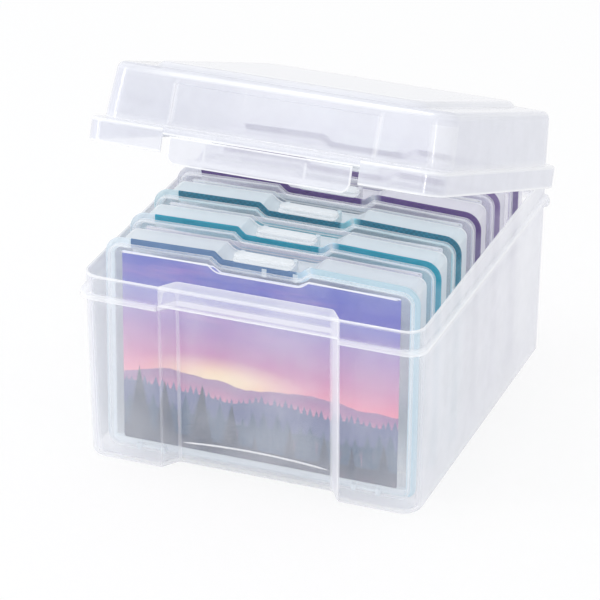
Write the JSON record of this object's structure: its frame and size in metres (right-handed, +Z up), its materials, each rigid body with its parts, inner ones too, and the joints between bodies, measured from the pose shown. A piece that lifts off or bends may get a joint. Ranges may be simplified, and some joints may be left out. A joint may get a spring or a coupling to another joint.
{
  "type": "photo keeper case",
  "caption": "Clear box with a hinged domed lid, holding a row of thin latching photo cases that lift out.",
  "frame": {"origin": "centre of the base's underside, which is flat", "axes": "+X to the right seen from the latch side, +Y to the back where the lid is hinged, +Z up"},
  "size_m": [0.224, 0.2624, 0.2429],
  "materials": {
    "clear_tub": "frosted clear polypropylene",
    "clear_lid": "frosted clear polypropylene",
    "clear_cover": "clear polypropylene",
    "latch_white": "translucent white polypropylene",
    "slate_tray": "tinted translucent polypropylene",
    "teal_tray": "tinted translucent polypropylene",
    "petrol_tray": "tinted translucent polypropylene",
    "purple_tray": "tinted translucent polypropylene",
    "violet_tray": "tinted translucent polypropylene",
    "indigo_tray": "tinted translucent polypropylene",
    "print": "glossy print",
    "blue_card": "matt card",
    "lilac_card": "matt card"
  },
  "bodies": {
    "tub": {"tub": "clear_tub"},
    "lid": {"lid": "clear_lid"},
    "lid_latch_tab": {"lid_latch_tab": "clear_lid"},
    "case_1": {"case_1_tray": "slate_tray", "case_1_print": "print"},
    "case_1_cover": {"case_1_cover": "clear_cover"},
    "case_1_latch": {"case_1_latch": "latch_white"},
    "case_2": {"case_2_tray": "teal_tray", "case_2_card": "blue_card"},
    "case_2_cover": {"case_2_cover": "clear_cover"},
    "case_2_latch": {"case_2_latch": "latch_white"},
    "case_3": {"case_3_tray": "petrol_tray", "case_3_card": "blue_card"},
    "case_3_cover": {"case_3_cover": "clear_cover"},
    "case_3_latch": {"case_3_latch": "latch_white"},
    "case_4": {"case_4_tray": "purple_tray", "case_4_card": "lilac_card"},
    "case_4_cover": {"case_4_cover": "clear_cover"},
    "case_4_latch": {"case_4_latch": "latch_white"},
    "case_5": {"case_5_tray": "violet_tray", "case_5_card": "lilac_card"},
    "case_5_cover": {"case_5_cover": "clear_cover"},
    "case_5_latch": {"case_5_latch": "latch_white"},
    "case_6": {"case_6_tray": "indigo_tray", "case_6_card": "lilac_card"},
    "case_6_cover": {"case_6_cover": "clear_cover"},
    "case_6_latch": {"case_6_latch": "latch_white"}
  },
  "joints": [
    {"name": "lid_hinge", "type": "hinge", "parent": "tub", "child": "lid", "pos_m": [0, 0.1253, 0.1123], "axis": [-1, 0, 0], "range_deg": [-21.6, 70]},
    {"name": "lid_tab_flex", "type": "hinge", "parent": "lid", "child": "lid_latch_tab", "pos_m": [0, -0.10507, 0.21555], "axis": [-1, 0, 0], "range_deg": [0, 8], "stiffness_Nm_per_rad": 0.6},
    {"name": "case_1_lift", "type": "slide", "parent": "tub", "child": "case_1", "axis": [0, 0, 1], "range_m": [0, 0.055]},
    {"name": "case_1_cover_hinge", "type": "hinge", "parent": "case_1", "child": "case_1_cover", "pos_m": [0, -0.10599, 0.0051], "axis": [1, 0, 0], "range_deg": [0, 1.8]},
    {"name": "case_1_latch_lift", "type": "hinge", "parent": "case_1", "child": "case_1_latch", "pos_m": [0, -0.0905, 0.1392], "axis": [-1, 0, 0], "range_deg": [0, 12], "stiffness_Nm_per_rad": 0.02},
    {"name": "case_2_lift", "type": "slide", "parent": "tub", "child": "case_2", "axis": [0, 0, 1], "range_m": [0, 0.085]},
    {"name": "case_2_cover_hinge", "type": "hinge", "parent": "case_2", "child": "case_2_cover", "pos_m": [0, -0.06869, 0.0051], "axis": [1, 0, 0], "range_deg": [0, 2]},
    {"name": "case_2_latch_lift", "type": "hinge", "parent": "case_2", "child": "case_2_latch", "pos_m": [0, -0.0532, 0.1392], "axis": [-1, 0, 0], "range_deg": [0, 12], "stiffness_Nm_per_rad": 0.02},
    {"name": "case_3_lift", "type": "slide", "parent": "tub", "child": "case_3", "axis": [0, 0, 1], "range_m": [0, 0.07]},
    {"name": "case_3_cover_hinge", "type": "hinge", "parent": "case_3", "child": "case_3_cover", "pos_m": [0, -0.03139, 0.0051], "axis": [1, 0, 0], "range_deg": [0, 2]},
    {"name": "case_3_latch_lift", "type": "hinge", "parent": "case_3", "child": "case_3_latch", "pos_m": [0, -0.0159, 0.1392], "axis": [-1, 0, 0], "range_deg": [0, 12], "stiffness_Nm_per_rad": 0.02},
    {"name": "case_4_lift", "type": "slide", "parent": "tub", "child": "case_4", "axis": [0, 0, 1], "range_m": [0, 0.055]},
    {"name": "case_4_cover_hinge", "type": "hinge", "parent": "case_4", "child": "case_4_cover", "pos_m": [0, 0.00591, 0.0051], "axis": [1, 0, 0], "range_deg": [0, 2]},
    {"name": "case_4_latch_lift", "type": "hinge", "parent": "case_4", "child": "case_4_latch", "pos_m": [0, 0.0214, 0.1392], "axis": [-1, 0, 0], "range_deg": [0, 12], "stiffness_Nm_per_rad": 0.02},
    {"name": "case_5_lift", "type": "slide", "parent": "tub", "child": "case_5", "axis": [0, 0, 1], "range_m": [0, 0.04]},
    {"name": "case_5_cover_hinge", "type": "hinge", "parent": "case_5", "child": "case_5_cover", "pos_m": [0, 0.04321, 0.0051], "axis": [1, 0, 0], "range_deg": [0, 2]},
    {"name": "case_5_latch_lift", "type": "hinge", "parent": "case_5", "child": "case_5_latch", "pos_m": [0, 0.0587, 0.1392], "axis": [-1, 0, 0], "range_deg": [0, 12], "stiffness_Nm_per_rad": 0.02},
    {"name": "case_6_lift", "type": "slide", "parent": "tub", "child": "case_6", "axis": [0, 0, 1], "range_m": [0, 0.025]},
    {"name": "case_6_cover_hinge", "type": "hinge", "parent": "case_6", "child": "case_6_cover", "pos_m": [0, 0.08051, 0.0051], "axis": [1, 0, 0], "range_deg": [0, 2]},
    {"name": "case_6_latch_lift", "type": "hinge", "parent": "case_6", "child": "case_6_latch", "pos_m": [0, 0.096, 0.1392], "axis": [-1, 0, 0], "range_deg": [0, 12], "stiffness_Nm_per_rad": 0.02}
  ]
}
